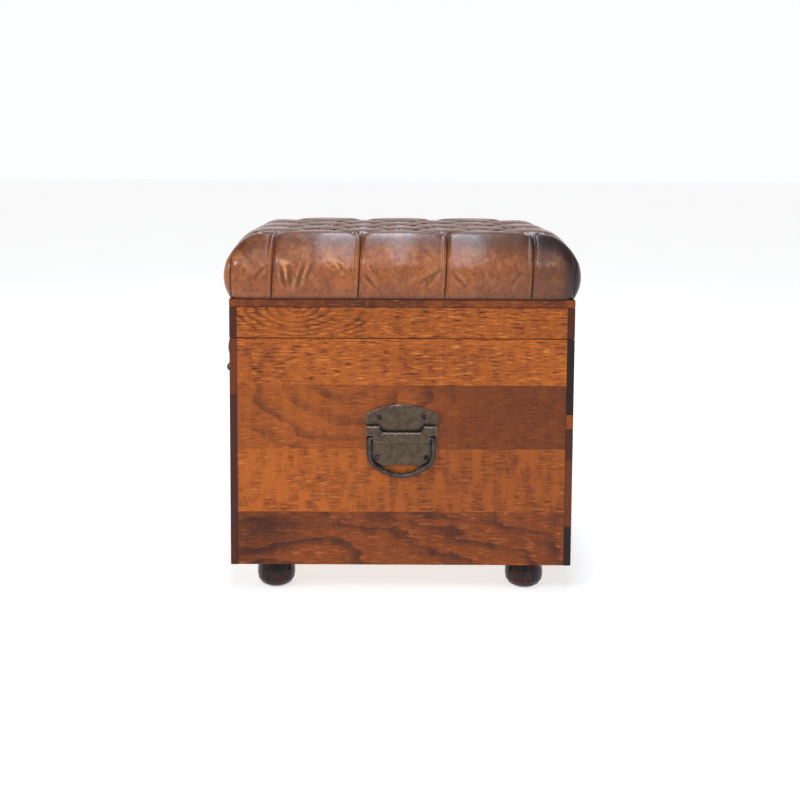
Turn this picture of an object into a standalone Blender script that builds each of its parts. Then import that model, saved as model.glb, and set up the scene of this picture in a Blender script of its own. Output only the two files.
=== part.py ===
"""Storage ottoman: a square hardwood box on bun feet with a padded leather lid, trunk handles and a hasp.

Metres, +Z up. The hasp side faces -Y, the hinges are on +Y and a handle is on each X side.
The origin is on the floor, under the middle of the whole object.
"""

import math

import bmesh
import bpy
from mathutils import Matrix, Vector

GAP = 0.0003  # between pieces that touch

# The wooden box and lid.
WIDTH = 0.42  # along X, over the end panels
DEPTH = 0.42  # along Y, over the front and back panels
PANEL = 0.018
TONGUE = 0.0088  # what is left of a front or back panel where it laps over an end panel
FOOT_HEIGHT = 0.042
BOX_HEIGHT = 0.282
LID_GAP = 0.0008
RAIL_HEIGHT = 0.0375
LID_BOARD = 0.0095
BASE_BOARD = 0.012
ARRIS = 0.0008
FOOT_INSET = 0.052

# The padded top.
CUSHION_OVERHANG = 0.008
CUSHION_HEIGHT = 0.080
CUSHION_SHOULDER = 0.030
CUSHION_HEM = 0.008

# The iron fittings.
SHEET = 0.0016
SCREW_SINK = 0.0006
WIRE = 0.0031  # radius of the bail
HANDLE_DROP = 0.121  # the bail's axle, below the top of the box
HASP_REACH = 0.029
HINGE_OFFSET = 0.0036  # the lid's axis, behind the back panel
HINGE_PLACE = 0.125
STAY_RADIUS = 0.240
STAY_THICK = 0.0025
STAY_HALF = 0.006

# The hasp's overhang in front is more than the cushion's behind, so the box sits a little towards +Y.
BODY_Y = (HASP_REACH - CUSHION_OVERHANG) / 2
FRONT = BODY_Y - DEPTH / 2
BACK = BODY_Y + DEPTH / 2
BOX_BOTTOM = FOOT_HEIGHT
BOX_TOP = BOX_BOTTOM + BOX_HEIGHT
RAIL_BOTTOM = BOX_TOP + LID_GAP
BOARD_BOTTOM = RAIL_BOTTOM + RAIL_HEIGHT + GAP
CUSHION_BOTTOM = BOARD_BOTTOM + LID_BOARD + GAP
SEAM = BOX_TOP + LID_GAP / 2  # height of the line between box and lid
LID_AXIS = Vector((0, BACK + HINGE_OFFSET, SEAM))

X, Y, Z = Vector((1, 0, 0)), Vector((0, 1, 0)), Vector((0, 0, 1))

MATERIALS = {
    "end_grain_wood": ((0.26, 0.105, 0.045), 0.36, 0.0),
    "orange_wood": ((0.42, 0.17, 0.055), 0.34, 0.0),
    "dark_wood": ((0.035, 0.016, 0.010), 0.30, 0.0),
    "ply": ((0.46, 0.31, 0.18), 0.6, 0.0),
    "leather": ((0.17, 0.085, 0.045), 0.42, 0.0),
    "iron": ((0.095, 0.085, 0.072), 0.42, 0.85),
    "dark_iron": ((0.03, 0.028, 0.026), 0.5, 0.8),
    "brass": ((0.42, 0.31, 0.14), 0.4, 0.9),
}


def clear_scene():
    for obj in list(bpy.data.objects):
        bpy.data.objects.remove(obj, do_unlink=True)


def make_collection(name):
    collection = bpy.data.collections.new(name)
    bpy.context.scene.collection.children.link(collection)
    return collection


def make_material(name):
    colour, roughness, metallic = MATERIALS[name.split("-")[0]]
    material = bpy.data.materials.new(name)
    material.use_nodes = True
    shader = material.node_tree.nodes["Principled BSDF"]
    shader.inputs["Base Color"].default_value = (*colour, 1)
    shader.inputs["Roughness"].default_value = roughness
    shader.inputs["Metallic"].default_value = metallic
    return material


def frame(origin, u, v):
    """The matrix that puts local X, Y and Z on u, v and u x v at this origin."""
    rotation = Matrix((u, v, u.cross(v))).transposed().to_4x4()
    return Matrix.Translation(origin) @ rotation


def add(name, mesh, material, place=None):
    obj = bpy.data.objects.new(name, mesh)
    PARTS.objects.link(obj)
    obj.matrix_world = place or Matrix()
    mesh.materials.clear()
    mesh.materials.append(make_material(f"{material}-{name}"))
    return obj


def as_tool(name, mesh, place=None):
    """A shape that is only combined with others."""
    obj = bpy.data.objects.new(name, mesh)
    TOOLS.objects.link(obj)
    obj.matrix_world = place or Matrix()
    obj.hide_render = True
    obj.display_type = "WIRE"
    return obj


def combine(obj, tool, operation):
    modifier = obj.modifiers.new(f"{operation.lower()} {tool.name}", "BOOLEAN")
    modifier.object = tool
    modifier.operation = operation
    modifier.solver = "EXACT"


def box_mesh(size, centre=(0, 0, 0)):
    mesh = bpy.data.meshes.new("box")
    bm = bmesh.new()
    bmesh.ops.create_cube(bm, size=1)
    bmesh.ops.scale(bm, vec=size, verts=bm.verts)
    bmesh.ops.translate(bm, vec=centre, verts=bm.verts)
    bm.to_mesh(mesh)
    bm.free()
    return mesh


def rod_mesh(radius, length, centre=(0, 0, 0), along="Z", segments=16, smooth=True):
    """A cylinder along a local axis."""
    mesh = bpy.data.meshes.new("rod")
    bm = bmesh.new()
    bmesh.ops.create_cone(
        bm, cap_ends=True, segments=segments, radius1=radius, radius2=radius, depth=length
    )
    turn = {"X": Matrix.Rotation(math.pi / 2, 4, "Y"), "Y": Matrix.Rotation(math.pi / 2, 4, "X")}
    bmesh.ops.transform(bm, matrix=turn.get(along, Matrix()), verts=bm.verts)
    bmesh.ops.translate(bm, vec=centre, verts=bm.verts)
    for face in bm.faces:
        face.smooth = smooth and len(face.verts) == 4
    bm.to_mesh(mesh)
    bm.free()
    return mesh


def sheet_mesh(outline, low, high):
    """A flat outline in local X and Y, from low to high along local Z."""
    curve = bpy.data.curves.new("outline", "CURVE")
    curve.dimensions = "2D"
    curve.fill_mode = "BOTH"
    curve.extrude = (high - low) / 2
    spline = curve.splines.new("POLY")
    spline.points.add(len(outline) - 1)
    for point, (a, b) in zip(spline.points, outline):
        point.co = (a, b, 0, 1)
    spline.use_cyclic_u = True
    drawn = bpy.data.objects.new("outline", curve)
    mesh = bpy.data.meshes.new_from_object(drawn)
    bpy.data.objects.remove(drawn)
    bm = bmesh.new()
    bm.from_mesh(mesh)
    bmesh.ops.remove_doubles(bm, verts=bm.verts, dist=1e-5)
    for level in (-curve.extrude, curve.extrude):
        cap = [face for face in bm.faces if all(abs(v.co.z - level) < 1e-6 for v in face.verts)]
        bmesh.ops.dissolve_faces(bm, faces=cap)
    bmesh.ops.recalc_face_normals(bm, faces=bm.faces)
    bmesh.ops.translate(bm, vec=(0, 0, (low + high) / 2), verts=bm.verts)
    bm.to_mesh(mesh)
    bm.free()
    return mesh


def round_edges(obj, width, chosen, segments=2):
    """Bevel the edges for which chosen(end, end) gives a weight above 0, in the object's own frame."""
    mesh = obj.data
    weights = mesh.attributes.new("bevel_weight_edge", "FLOAT", "EDGE")
    for edge in mesh.edges:
        ends = [mesh.vertices[i].co for i in edge.vertices]
        weights.data[edge.index].value = chosen(*ends)
    modifier = obj.modifiers.new("rounding", "BEVEL")
    modifier.limit_method = "WEIGHT"
    modifier.width = width
    modifier.segments = segments


def bump(start, end, rise, steps=8):
    """Points between two ends, on a curve that stands off their line by rise to its left."""
    (x0, y0), (x1, y1) = start, end
    length = math.hypot(x1 - x0, y1 - y0)
    side = (-(y1 - y0) / length, (x1 - x0) / length)
    shares = [i / steps for i in range(1, steps)]
    return [
        (
            x0 + (x1 - x0) * t + side[0] * rise * 4 * t * (1 - t),
            y0 + (y1 - y0) * t + side[1] * rise * 4 * t * (1 - t),
        )
        for t in shares
    ]


def smooth_line(points, steps=3):
    """A Catmull-Rom line through the points."""
    points = [Vector(p) for p in points]
    padded = [points[0] * 2 - points[1], *points, points[-1] * 2 - points[-2]]
    line = []
    for a, b, c, d in zip(padded, padded[1:], padded[2:], padded[3:]):
        for i in range(steps):
            t = i / steps
            line.append(
                (b * 2 + (c - a) * t + (a * 2 - b * 5 + c * 4 - d) * t**2 + (b * 3 - a - c * 3 + d) * t**3) / 2
            )
    return [*line, points[-1]]


def mirrored(half):
    """A closed outline from its right half, listed from bottom to top."""
    return [*half, *[(-a, b) for a, b in reversed(half) if abs(a) > 1e-6]]


def ribbon(line, thickness):
    """The outline of a bent strip along a centre line."""
    left, right = [], []
    for i, point in enumerate(line):
        along = (line[min(i + 1, len(line) - 1)] - line[max(i - 1, 0)]).normalized()
        side = Vector((-along.y, along.x)) * thickness / 2
        left.append(tuple(point + side))
        right.append(tuple(point - side))
    return [*left, *reversed(right)]


def make_axis(name, place):
    """An empty on a joint's axis, which the moving pieces hang from."""
    axis = bpy.data.objects.new(name, None)
    PARTS.objects.link(axis)
    axis.location = place
    axis.empty_display_size = 0.03
    return axis


def hang(pieces, axis):
    for piece in pieces:
        piece.parent = axis
        piece.matrix_parent_inverse = Matrix.Translation(axis.location).inverted()


# Wood


def lapped_board(name, place, height, material):
    """A front or back board: local X along it, Y from its outer face inwards, Z up. Its ends lap the end boards."""
    end = WIDTH / 2
    notch = end - PANEL - GAP
    half = [(end, 0), (end, TONGUE), (notch, TONGUE), (notch, PANEL)]
    outline = [*half, *[(-a, b) for a, b in reversed(half)]]
    obj = add(name, sheet_mesh(outline, 0, height), material, place)
    round_edges(obj, ARRIS, lambda p, q: float(p.y < 1e-6 and q.y < 1e-6))
    return obj


def end_board(name, side, bottom, height, material):
    """An end board, between the laps of the front and back boards."""
    length = DEPTH - 2 * (TONGUE + GAP)
    obj = add(name, box_mesh((PANEL, length, height)), material)
    obj.location = (side * (WIDTH - PANEL) / 2, BODY_Y, bottom + height / 2)
    outer = side * PANEL / 2
    round_edges(
        obj,
        ARRIS,
        lambda p, q: float(abs(p.x - outer) < 1e-6 and abs(q.x - outer) < 1e-6 and abs(p.z - q.z) < 1e-6),
    )
    return obj


def four_walls(prefix, bottom, height, material):
    return [
        lapped_board(f"{prefix}_front", frame((0, FRONT, bottom), X, Y), height, material),
        lapped_board(f"{prefix}_back", frame((0, BACK, bottom), -X, -Y), height, material),
        end_board(f"{prefix}_right", 1, bottom, height, material),
        end_board(f"{prefix}_left", -1, bottom, height, material),
    ]


def base_board():
    size = (WIDTH - 2 * (PANEL + GAP), DEPTH - 2 * (PANEL + GAP), BASE_BOARD)
    obj = add("base_board", box_mesh(size), "ply")
    obj.location = (0, BODY_Y, BOX_BOTTOM + BASE_BOARD / 2)


def bun_foot(name, place):
    """A turned foot: a squashed ball with a short neck, wider than it is tall."""
    top = FOOT_HEIGHT - GAP
    profile = [
        (0, top),
        (0.0180, top),
        (0.0180, 0.038),
        (0.0215, 0.031),
        (0.0238, 0.023),
        (0.0241, 0.017),
        (0.0230, 0.010),
        (0.0195, 0.0045),
        (0.0135, 0.0008),
        (0.0110, 0),
        (0, 0),
    ]
    mesh = bpy.data.meshes.new(name)
    bm = bmesh.new()
    points = [bm.verts.new((r, 0, z)) for r, z in profile]
    for a, b in zip(points, points[1:]):
        bm.edges.new((a, b))
    bm.to_mesh(mesh)
    bm.free()
    obj = add(name, mesh, "dark_wood")
    obj.location = place
    spin = obj.modifiers.new("turning", "SCREW")
    spin.steps = 24
    spin.render_steps = 24
    spin.use_merge_vertices = True
    spin.merge_threshold = 0.0001
    spin.use_smooth_shade = True


def lid_board():
    obj = add("lid_board", box_mesh((WIDTH, DEPTH, LID_BOARD)), "end_grain_wood")
    obj.location = (0, BODY_Y, BOARD_BOTTOM + LID_BOARD / 2)
    round_edges(obj, ARRIS, lambda p, q: 1.0)
    return obj


def seat_cushion():
    """The leather-covered pad, as the plain solid that its pleats and tufts stand on."""
    over = 2 * CUSHION_OVERHANG
    obj = add("seat_cushion", box_mesh((WIDTH + over, DEPTH + over, CUSHION_HEIGHT)), "leather")
    obj.location = (0, BODY_Y, CUSHION_BOTTOM + CUSHION_HEIGHT / 2)
    hem = CUSHION_HEM / CUSHION_SHOULDER
    round_edges(obj, CUSHION_SHOULDER, lambda p, q: hem if p.z < 0 and q.z < 0 else 1.0, segments=4)
    return obj


# Fittings. Each is drawn on its wooden face: local X to the right, Y up, Z out of the wood.


def sunk_screw(name, place, spot, radius, turn, material="dark_iron"):
    """A slotted screw head, a little below the sheet that it holds."""
    head = rod_mesh(radius, SHEET - SCREW_SINK, (*spot, GAP + (SHEET - SCREW_SINK) / 2), segments=12)
    obj = add(name, head, material, place)
    slot = box_mesh((3 * radius, 0.0007, 0.001))
    slot.transform(Matrix.Translation((*spot, GAP + SHEET - SCREW_SINK)) @ Matrix.Rotation(turn, 4, "Z"))
    combine(obj, as_tool(f"{name}_slot", slot, place), "DIFFERENCE")
    return obj


def screw_holes(obj, place, spots, radius):
    for number, spot in enumerate(spots):
        hole = rod_mesh(radius, 0.01, (*spot, 0), segments=12)
        combine(obj, as_tool(f"{obj.name}_hole_{number}", hole, place), "DIFFERENCE")


def trunk_handle(side_name, side):
    """A back plate, a stepped hood over the axle, and a wire bail that hangs from it."""
    origin = Vector((side * WIDTH / 2, BODY_Y, BOX_TOP - HANDLE_DROP))
    place = frame(origin, side * Y, Z)
    half_width = 0.043
    plate_half = [
        (0, -0.0335),
        *bump((0, -0.0335), (0.021, -0.0362), 0.0008, 4),
        (0.021, -0.0362),
        (0.030, -0.0362),
        (0.039, -0.0315),
        (half_width, -0.021),
        (half_width, 0.0288),
        *bump((half_width, 0.0288), (0, 0.0403), -0.0028, 8),
        (0, 0.0403),
    ]
    screws = [(0.0269, 0.0246), (-0.0269, 0.0246), (0.0304, -0.0251), (-0.0304, -0.0251)]
    plate = add(f"handle_{side_name}_plate", sheet_mesh(mirrored(plate_half), GAP, GAP + SHEET), "iron", place)
    screw_holes(plate, place, screws, 0.0036)
    for number, spot in enumerate(screws):
        sunk_screw(f"handle_{side_name}_screw_{number + 1}", place, spot, 0.0032, 0.7 + number)

    axle_out = GAP + SHEET + 0.0004 + WIRE
    hood_low = SHEET + 2 * GAP
    hood_high = axle_out + WIRE + 0.0018
    hood_half = [
        (0, -0.0044),
        (0.0340, -0.0044),
        (0.0340, 0.0038),
        (half_width, 0.0038),
        (half_width, 0.0152),
        (0.0272, 0.0152),
        (0.0222, 0.0075),
        (0, 0.0075),
    ]
    hood = add(f"handle_{side_name}_hood", sheet_mesh(mirrored(hood_half), hood_low, hood_high), "iron", place)
    round_edges(
        hood,
        0.0034,
        lambda p, q: float(min(p.z, q.z) > hood_high - 1e-5 and min(p.y, q.y) > 0.007),
        segments=3,
    )
    bore = WIRE + 0.0004
    turns = [math.pi * i / 8 for i in range(9)]
    arch = [(bore * math.cos(turn), axle_out + bore * math.sin(turn)) for turn in turns]
    channel = sheet_mesh([*arch, (-bore, 0), (bore, 0)], -0.045, 0.045)
    combine(hood, as_tool(f"handle_{side_name}_channel", channel, side_view(place)), "DIFFERENCE")

    bail = wire_bail(f"handle_{side_name}_bail", place @ Matrix.Translation((0, 0, axle_out)))
    axis = make_axis(f"handle_{side_name}_axis", origin + side * X * axle_out)
    hang([bail], axis)


def wire_bail(name, place):
    """A round wire: two stubs in the hood, straight legs, and a shallow pointed loop below."""
    reach = 0.0391
    half = [
        (0.014, 0),
        (reach - 0.004, 0),
        (reach - 0.0012, -0.0012),
        (reach, -0.004),
        (reach, -0.019),
        (0.0378, -0.0275),
        (0.0335, -0.0338),
        (0.0275, -0.0378),
        (0.0190, -0.0422),
        (0.0095, -0.0458),
        (0, -0.0473),
    ]
    line = smooth_line(half, 2)
    path = [*line, *[Vector((-p.x, p.y)) for p in reversed(line[:-1])]]
    curve = bpy.data.curves.new(name, "CURVE")
    curve.dimensions = "3D"
    curve.bevel_depth = WIRE
    curve.bevel_resolution = 2
    curve.use_fill_caps = True
    spline = curve.splines.new("POLY")
    spline.points.add(len(path) - 1)
    for point, spot in zip(spline.points, path):
        point.co = (spot.x, spot.y, 0, 1)
    spline.use_smooth = True
    drawn = bpy.data.objects.new(name, curve)
    mesh = bpy.data.meshes.new_from_object(drawn)
    bpy.data.objects.remove(drawn)
    bm = bmesh.new()
    bm.from_mesh(mesh)
    bmesh.ops.remove_doubles(bm, verts=bm.verts, dist=1e-5)
    bm.to_mesh(mesh)
    bm.free()
    return add(name, mesh, "iron", place)


def butt_hinge(side_name, side):
    """Two leaves on one pin: the outer knuckles are the box's, the middle one is the lid's."""
    place = frame((side * HINGE_PLACE, BACK, SEAM), -X, Z)
    half, tall, clear = 0.025, 0.024, 0.0038
    split = 0.0085
    barrel, bore, pin = 0.0032, 0.0019, 0.0016
    space, past = 0.0002, 0.0006
    knuckle = half - split - space
    middle = (half + split + space) / 2
    tab, tongue = split + 2 * space, split - 2 * space
    box_outline = [
        (-half + space, -tall), (half - space, -tall), (half - space, past), (tab, past),
        (tab, -clear), (-tab, -clear), (-tab, past), (-half + space, past),
    ]
    lid_outline = [
        (half, tall), (-half, tall), (-half, clear), (-tongue, clear),
        (-tongue, -past), (tongue, -past), (tongue, clear), (half, clear),
    ]
    leaves = {
        "box": (box_outline, [(-middle, knuckle), (middle, knuckle)], -0.014),
        "lid": (lid_outline, [(0, 2 * (split - space))], 0.014),
    }
    made = {}
    for owner, (outline, knuckles, row) in leaves.items():
        name = f"hinge_{side_name}_{owner}_leaf"
        leaf = add(name, sheet_mesh(outline, GAP, GAP + SHEET), "iron", place)
        for number, (spot, length) in enumerate(knuckles):
            tube = rod_mesh(barrel, length, (spot, 0, HINGE_OFFSET), "X", 20)
            combine(leaf, as_tool(f"{name}_knuckle_{number}", tube, place), "UNION")
        hole = rod_mesh(bore, 3 * half, (0, 0, HINGE_OFFSET), "X")
        combine(leaf, as_tool(f"{name}_bore", hole, place), "DIFFERENCE")
        spots = [(-0.016, row), (0.016, row)]
        screw_holes(leaf, place, spots, 0.0026)
        made[owner] = [leaf]
        for number, spot in enumerate(spots):
            screw = sunk_screw(f"hinge_{side_name}_{owner}_screw_{number + 1}", place, spot, 0.0023, 0.4 + number)
            made[owner].append(screw)
    add(f"hinge_{side_name}_pin", rod_mesh(pin, 2 * half, (0, 0, HINGE_OFFSET), "X"), "iron", place)
    return made["lid"]


def hasp():
    """A plate and a bowed leaf on the lid, and a staple on the box. A padlock goes through both rings."""
    place = frame((0, FRONT, SEAM), X, Z)
    pin_up, pin_out = 0.0062, 0.0062
    barrel, bore, pin = 0.0034, 0.0019, 0.0016
    ring_outer, ring_hole = 0.0058, 0.0034
    ring = Vector((-0.0695, HASP_REACH - ring_outer))
    inner, outer = 0.0057, 0.0185

    low, high = pin_up - barrel, 0.0300
    plate_half = [(0, low), (outer, low), (outer, high - 0.009), (outer - 0.004, high - 0.006)]
    plate_half += bump((outer - 0.004, high - 0.006), (0, high + 0.004), -0.002, 5)
    plate_half.append((0, high + 0.004))
    spots = [(-0.0125, 0.0165), (0.0125, 0.0165)]
    plate = add("hasp_lid_plate", sheet_mesh(mirrored(plate_half), GAP, GAP + SHEET), "iron", place)
    for number, side in enumerate((-1, 1)):
        middle = side * (inner + outer) / 2
        block = box_mesh((outer - inner, 2 * barrel, pin_out - GAP), (middle, pin_up, (pin_out + GAP) / 2))
        combine(plate, as_tool(f"hasp_lid_web_{number}", block, place), "UNION")
        tube = rod_mesh(barrel, outer - inner, (middle, pin_up, pin_out), "X", 20)
        combine(plate, as_tool(f"hasp_lid_knuckle_{number}", tube, place), "UNION")
    hole = rod_mesh(bore, 0.06, (0, pin_up, pin_out), "X")
    combine(plate, as_tool("hasp_lid_bore", hole, place), "DIFFERENCE")
    screw_holes(plate, place, spots, 0.0026)
    moving = [plate]
    for number, spot in enumerate(spots):
        moving.append(sunk_screw(f"hasp_lid_screw_{number + 1}", place, spot, 0.0023, 0.9 + number))
    moving.append(add("hasp_pin", rod_mesh(pin, 2 * outer, (0, pin_up, pin_out), "X"), "iron", place))

    leaf = hasp_leaf(place, (pin_up, pin_out, barrel, bore, inner), (ring, ring_outer, ring_hole))
    leaf_axis = make_axis("hasp_axis", Vector((0, FRONT - pin_out, SEAM + pin_up)))
    hang([leaf], leaf_axis)
    hasp_staple(place, ring, ring_outer, ring_hole)
    return moving, leaf_axis


def side_view(place):
    """A frame for side profiles on the same face: local X up, Y out of the wood, Z to the right."""
    return place @ Matrix(((0, 0, 1, 0), (1, 0, 0, 0), (0, 1, 0, 0), (0, 0, 0, 1)))


def hasp_leaf(place, pivot, eye):
    pin_up, pin_out, barrel, bore, inner = pivot
    ring, ring_outer, ring_hole = eye
    side = side_view(place)
    bow = [
        (0.0052, 0.0086),
        (-0.0020, 0.0125),
        (-0.0080, 0.0190),
        (-0.0150, 0.0228),
        (-0.0235, 0.0212),
        (-0.0320, 0.0236),
        (-0.0420, 0.0248),
        (-0.0520, 0.0232),
        (-0.0610, 0.0205),
    ]
    strap = ribbon(smooth_line(bow, 2), 0.0024)
    leaf = add("hasp_leaf", sheet_mesh(strap, -0.015, 0.015), "iron", side)
    half = [
        (0.0035, -0.0640),
        (0.0078, -0.0605),
        (0.0112, -0.0500),
        (0.0132, -0.0400),
        (0.0120, -0.0310),
        (0.0092, -0.0240),
        (0.0122, -0.0165),
        (0.0110, -0.0100),
        (0.0060, -0.0040),
        (0.0052, 0.0010),
        (0.0052, 0.0120),
    ]
    right = smooth_line(half, 2)
    outline = [(p.x, p.y) for p in right] + [(-p.x, p.y) for p in reversed(right)]
    combine(leaf, as_tool("hasp_leaf_outline", sheet_mesh(outline, 0, 0.04), place), "INTERSECT")
    knuckle = rod_mesh(barrel, 2 * inner - 0.0008, (0, pin_up, pin_out), "X", 20)
    combine(leaf, as_tool("hasp_leaf_knuckle", knuckle, place), "UNION")
    combine(leaf, as_tool("hasp_leaf_bore", rod_mesh(bore, 0.03, (0, pin_up, pin_out), "X"), place), "DIFFERENCE")
    lug_low, lug_high = 0.0034, 0.0064
    lug = rod_mesh(ring_outer, lug_high - lug_low, (*ring, (lug_low + lug_high) / 2), segments=20)
    combine(leaf, as_tool("hasp_leaf_lug", lug, side), "UNION")
    neck = [(-0.0590, 0.0222), (-0.0590, 0.0200), (ring.x + 0.001, ring.y - 0.0048), (ring.x + 0.001, ring.y + 0.003)]
    web = sheet_mesh(neck, lug_low, lug_high)
    combine(leaf, as_tool("hasp_leaf_web", web, side), "UNION")
    eye_hole = rod_mesh(ring_hole, 0.006, (*ring, 0.0055), segments=16)
    combine(leaf, as_tool("hasp_leaf_eye", eye_hole, side), "DIFFERENCE")
    return leaf


def hasp_staple(place, ring, ring_outer, ring_hole):
    side = side_view(place)
    half_width, tall = 0.0150, 0.0170
    half = [(0, ring.x - tall - 0.004), (half_width - 0.005, ring.x - tall)]
    half += [(half_width, ring.x - tall + 0.005), (half_width, ring.x + tall - 0.005)]
    half += [(half_width - 0.005, ring.x + tall), (0, ring.x + tall + 0.004)]
    spots = [(0, ring.x - 0.0125), (0, ring.x + 0.0125)]
    plate = add("hasp_staple", sheet_mesh(mirrored(half), GAP, GAP + SHEET), "iron", place)
    arm = [
        (ring.x + 0.0050, GAP + SHEET / 2),
        (ring.x + 0.0032, 0.008),
        (ring.x + 0.0032, ring.y),
        (ring.x - 0.0032, ring.y),
        (ring.x - 0.0032, 0.008),
        (ring.x - 0.0050, GAP + SHEET / 2),
    ]
    combine(plate, as_tool("hasp_staple_arm", sheet_mesh(arm, -0.0015, 0.0015), side), "UNION")
    eye = rod_mesh(ring_outer, 0.003, (*ring, 0), segments=20)
    combine(plate, as_tool("hasp_staple_ring", eye, side), "UNION")
    hole = rod_mesh(ring_hole, 0.006, (*ring, 0), segments=16)
    combine(plate, as_tool("hasp_staple_eye", hole, side), "DIFFERENCE")
    screw_holes(plate, place, spots, 0.0026)
    for number, spot in enumerate(spots):
        sunk_screw(f"hasp_staple_screw_{number + 1}", place, spot, 0.0023, 0.3 + number)


def arc_outline(radius_in, radius_out, start, end, steps):
    """A ring sector about the lid's axis in degrees below level, drawn in world Y and Z."""
    angles = [math.radians(start + (end - start) * i / steps) for i in range(steps + 1)]
    rim = [(-radius_out * math.cos(a), -radius_out * math.sin(a)) for a in angles]
    inside = [(-radius_in * math.cos(a), -radius_in * math.sin(a)) for a in angles]
    return [*rim, *reversed(inside)]


def lid_stay():
    """A quadrant arm, true to the lid's axis, that slides through a guide on the left wall."""
    wall = -WIDTH / 2 + PANEL
    place = frame(LID_AXIS, Y, Z)
    low, high = wall + 0.0032, wall + 0.0032 + STAY_THICK
    foot_end, arm_end, knob_at = -6.0, 83.5, 81.6
    inner, outer = STAY_RADIUS - STAY_HALF, STAY_RADIUS + STAY_HALF
    arm = add("stay_arm", sheet_mesh(arc_outline(inner, outer, foot_end, arm_end, 36), low, high), "iron", place)
    foot_y, foot_low, foot_high = -STAY_RADIUS, 0.0035, 0.0300
    foot = box_mesh(
        (0.034, foot_high - foot_low, high - wall - GAP),
        (foot_y, (foot_low + foot_high) / 2, (high + wall + GAP) / 2),
    )
    combine(arm, as_tool("stay_arm_foot", foot, place), "UNION")
    angle = math.radians(knob_at)
    knob_spot = (-STAY_RADIUS * math.cos(angle), -STAY_RADIUS * math.sin(angle))
    knob = rod_mesh(0.004, 0.006, (*knob_spot, high + 0.0015), segments=16)
    combine(arm, as_tool("stay_arm_knob", knob, place), "UNION")
    screw_face = frame((high, LID_AXIS.y - STAY_RADIUS, SEAM), Y, Z)
    head = 0.0014
    moving = [arm]
    for number, shift in enumerate((-0.0125, 0.0125)):
        dome = rod_mesh(0.0032, head, (shift, 0.0235, GAP + head / 2), segments=12)
        moving.append(add(f"stay_arm_screw_{number + 1}", dome, "dark_iron", screw_face))

    guide_centre = (-STAY_RADIUS, -0.0195)
    guide_size = (0.026, 0.016)
    guide_high = high + 0.0025
    block = box_mesh(
        (*guide_size, guide_high - wall - GAP), (*guide_centre, (guide_high + wall + GAP) / 2)
    )
    guide = add("stay_guide", block, "brass", place)
    space = 0.0005
    slot = sheet_mesh(
        arc_outline(inner - space, outer + space, -2, 12, 12), low - space, high + space
    )
    combine(guide, as_tool("stay_guide_slot", slot, place), "DIFFERENCE")
    knurled = rod_mesh(0.0052, 0.006, (*guide_centre, guide_high + GAP + 0.003), segments=20, smooth=False)
    add("stay_thumbscrew", knurled, "brass", place)
    return moving


def build():
    four_walls("box", BOX_BOTTOM, BOX_HEIGHT, "orange_wood")
    base_board()
    for name, x, y in (
        ("front_right", 1, -1),
        ("front_left", -1, -1),
        ("back_right", 1, 1),
        ("back_left", -1, 1),
    ):
        spread = WIDTH / 2 - FOOT_INSET
        bun_foot(f"foot_{name}", (x * spread, BODY_Y + y * spread, 0))
    lid = four_walls("lid", RAIL_BOTTOM, RAIL_HEIGHT, "orange_wood")
    lid += [lid_board(), seat_cushion()]
    trunk_handle("right", 1)
    trunk_handle("left", -1)
    lid += butt_hinge("right", 1)
    lid += butt_hinge("left", -1)
    hasp_pieces, hasp_axis = hasp()
    lid += hasp_pieces
    lid += lid_stay()
    lid_axis = make_axis("lid_axis", LID_AXIS)
    hang([*lid, hasp_axis], lid_axis)


clear_scene()
PARTS = make_collection("storage_ottoman")
TOOLS = make_collection("storage_ottoman_tools")
TOOLS.hide_render = True
build()
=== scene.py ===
"""The looks of a storage ottoman with a buttoned leather seat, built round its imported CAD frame."""

import math

import bmesh
import bpy
import numpy as np
from mathutils import Matrix, Vector


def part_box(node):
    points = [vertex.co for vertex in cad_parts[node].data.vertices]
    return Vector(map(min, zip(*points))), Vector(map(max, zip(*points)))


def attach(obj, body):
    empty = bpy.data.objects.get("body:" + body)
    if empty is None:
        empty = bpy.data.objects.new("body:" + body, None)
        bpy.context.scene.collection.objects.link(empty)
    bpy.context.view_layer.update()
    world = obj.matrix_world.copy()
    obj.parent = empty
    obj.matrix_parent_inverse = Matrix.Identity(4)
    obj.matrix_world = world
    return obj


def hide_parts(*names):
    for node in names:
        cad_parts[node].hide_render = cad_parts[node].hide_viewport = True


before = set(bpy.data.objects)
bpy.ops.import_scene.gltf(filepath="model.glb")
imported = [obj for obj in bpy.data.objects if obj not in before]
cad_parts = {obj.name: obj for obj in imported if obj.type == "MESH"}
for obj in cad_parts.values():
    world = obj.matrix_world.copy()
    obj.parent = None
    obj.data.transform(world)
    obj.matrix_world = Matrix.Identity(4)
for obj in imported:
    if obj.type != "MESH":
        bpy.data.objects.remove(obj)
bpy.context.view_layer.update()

MM = 0.001
SEED = 7  # of the seat's small wrinkles

# ---- where things are, from the frame ----

PAD_LO, PAD_HI = (Vector(corner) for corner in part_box("seat_cushion"))
PAD_CENTRE = (PAD_LO + PAD_HI) / 2
PAD_BASE = PAD_LO.z
BODY_LO = Vector(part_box("box_front")[0])
BODY_HI = Vector(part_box("box_back")[1])
BODY_CENTRE = (BODY_LO + BODY_HI) / 2

# ---- the seat's driving sizes ----

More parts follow.
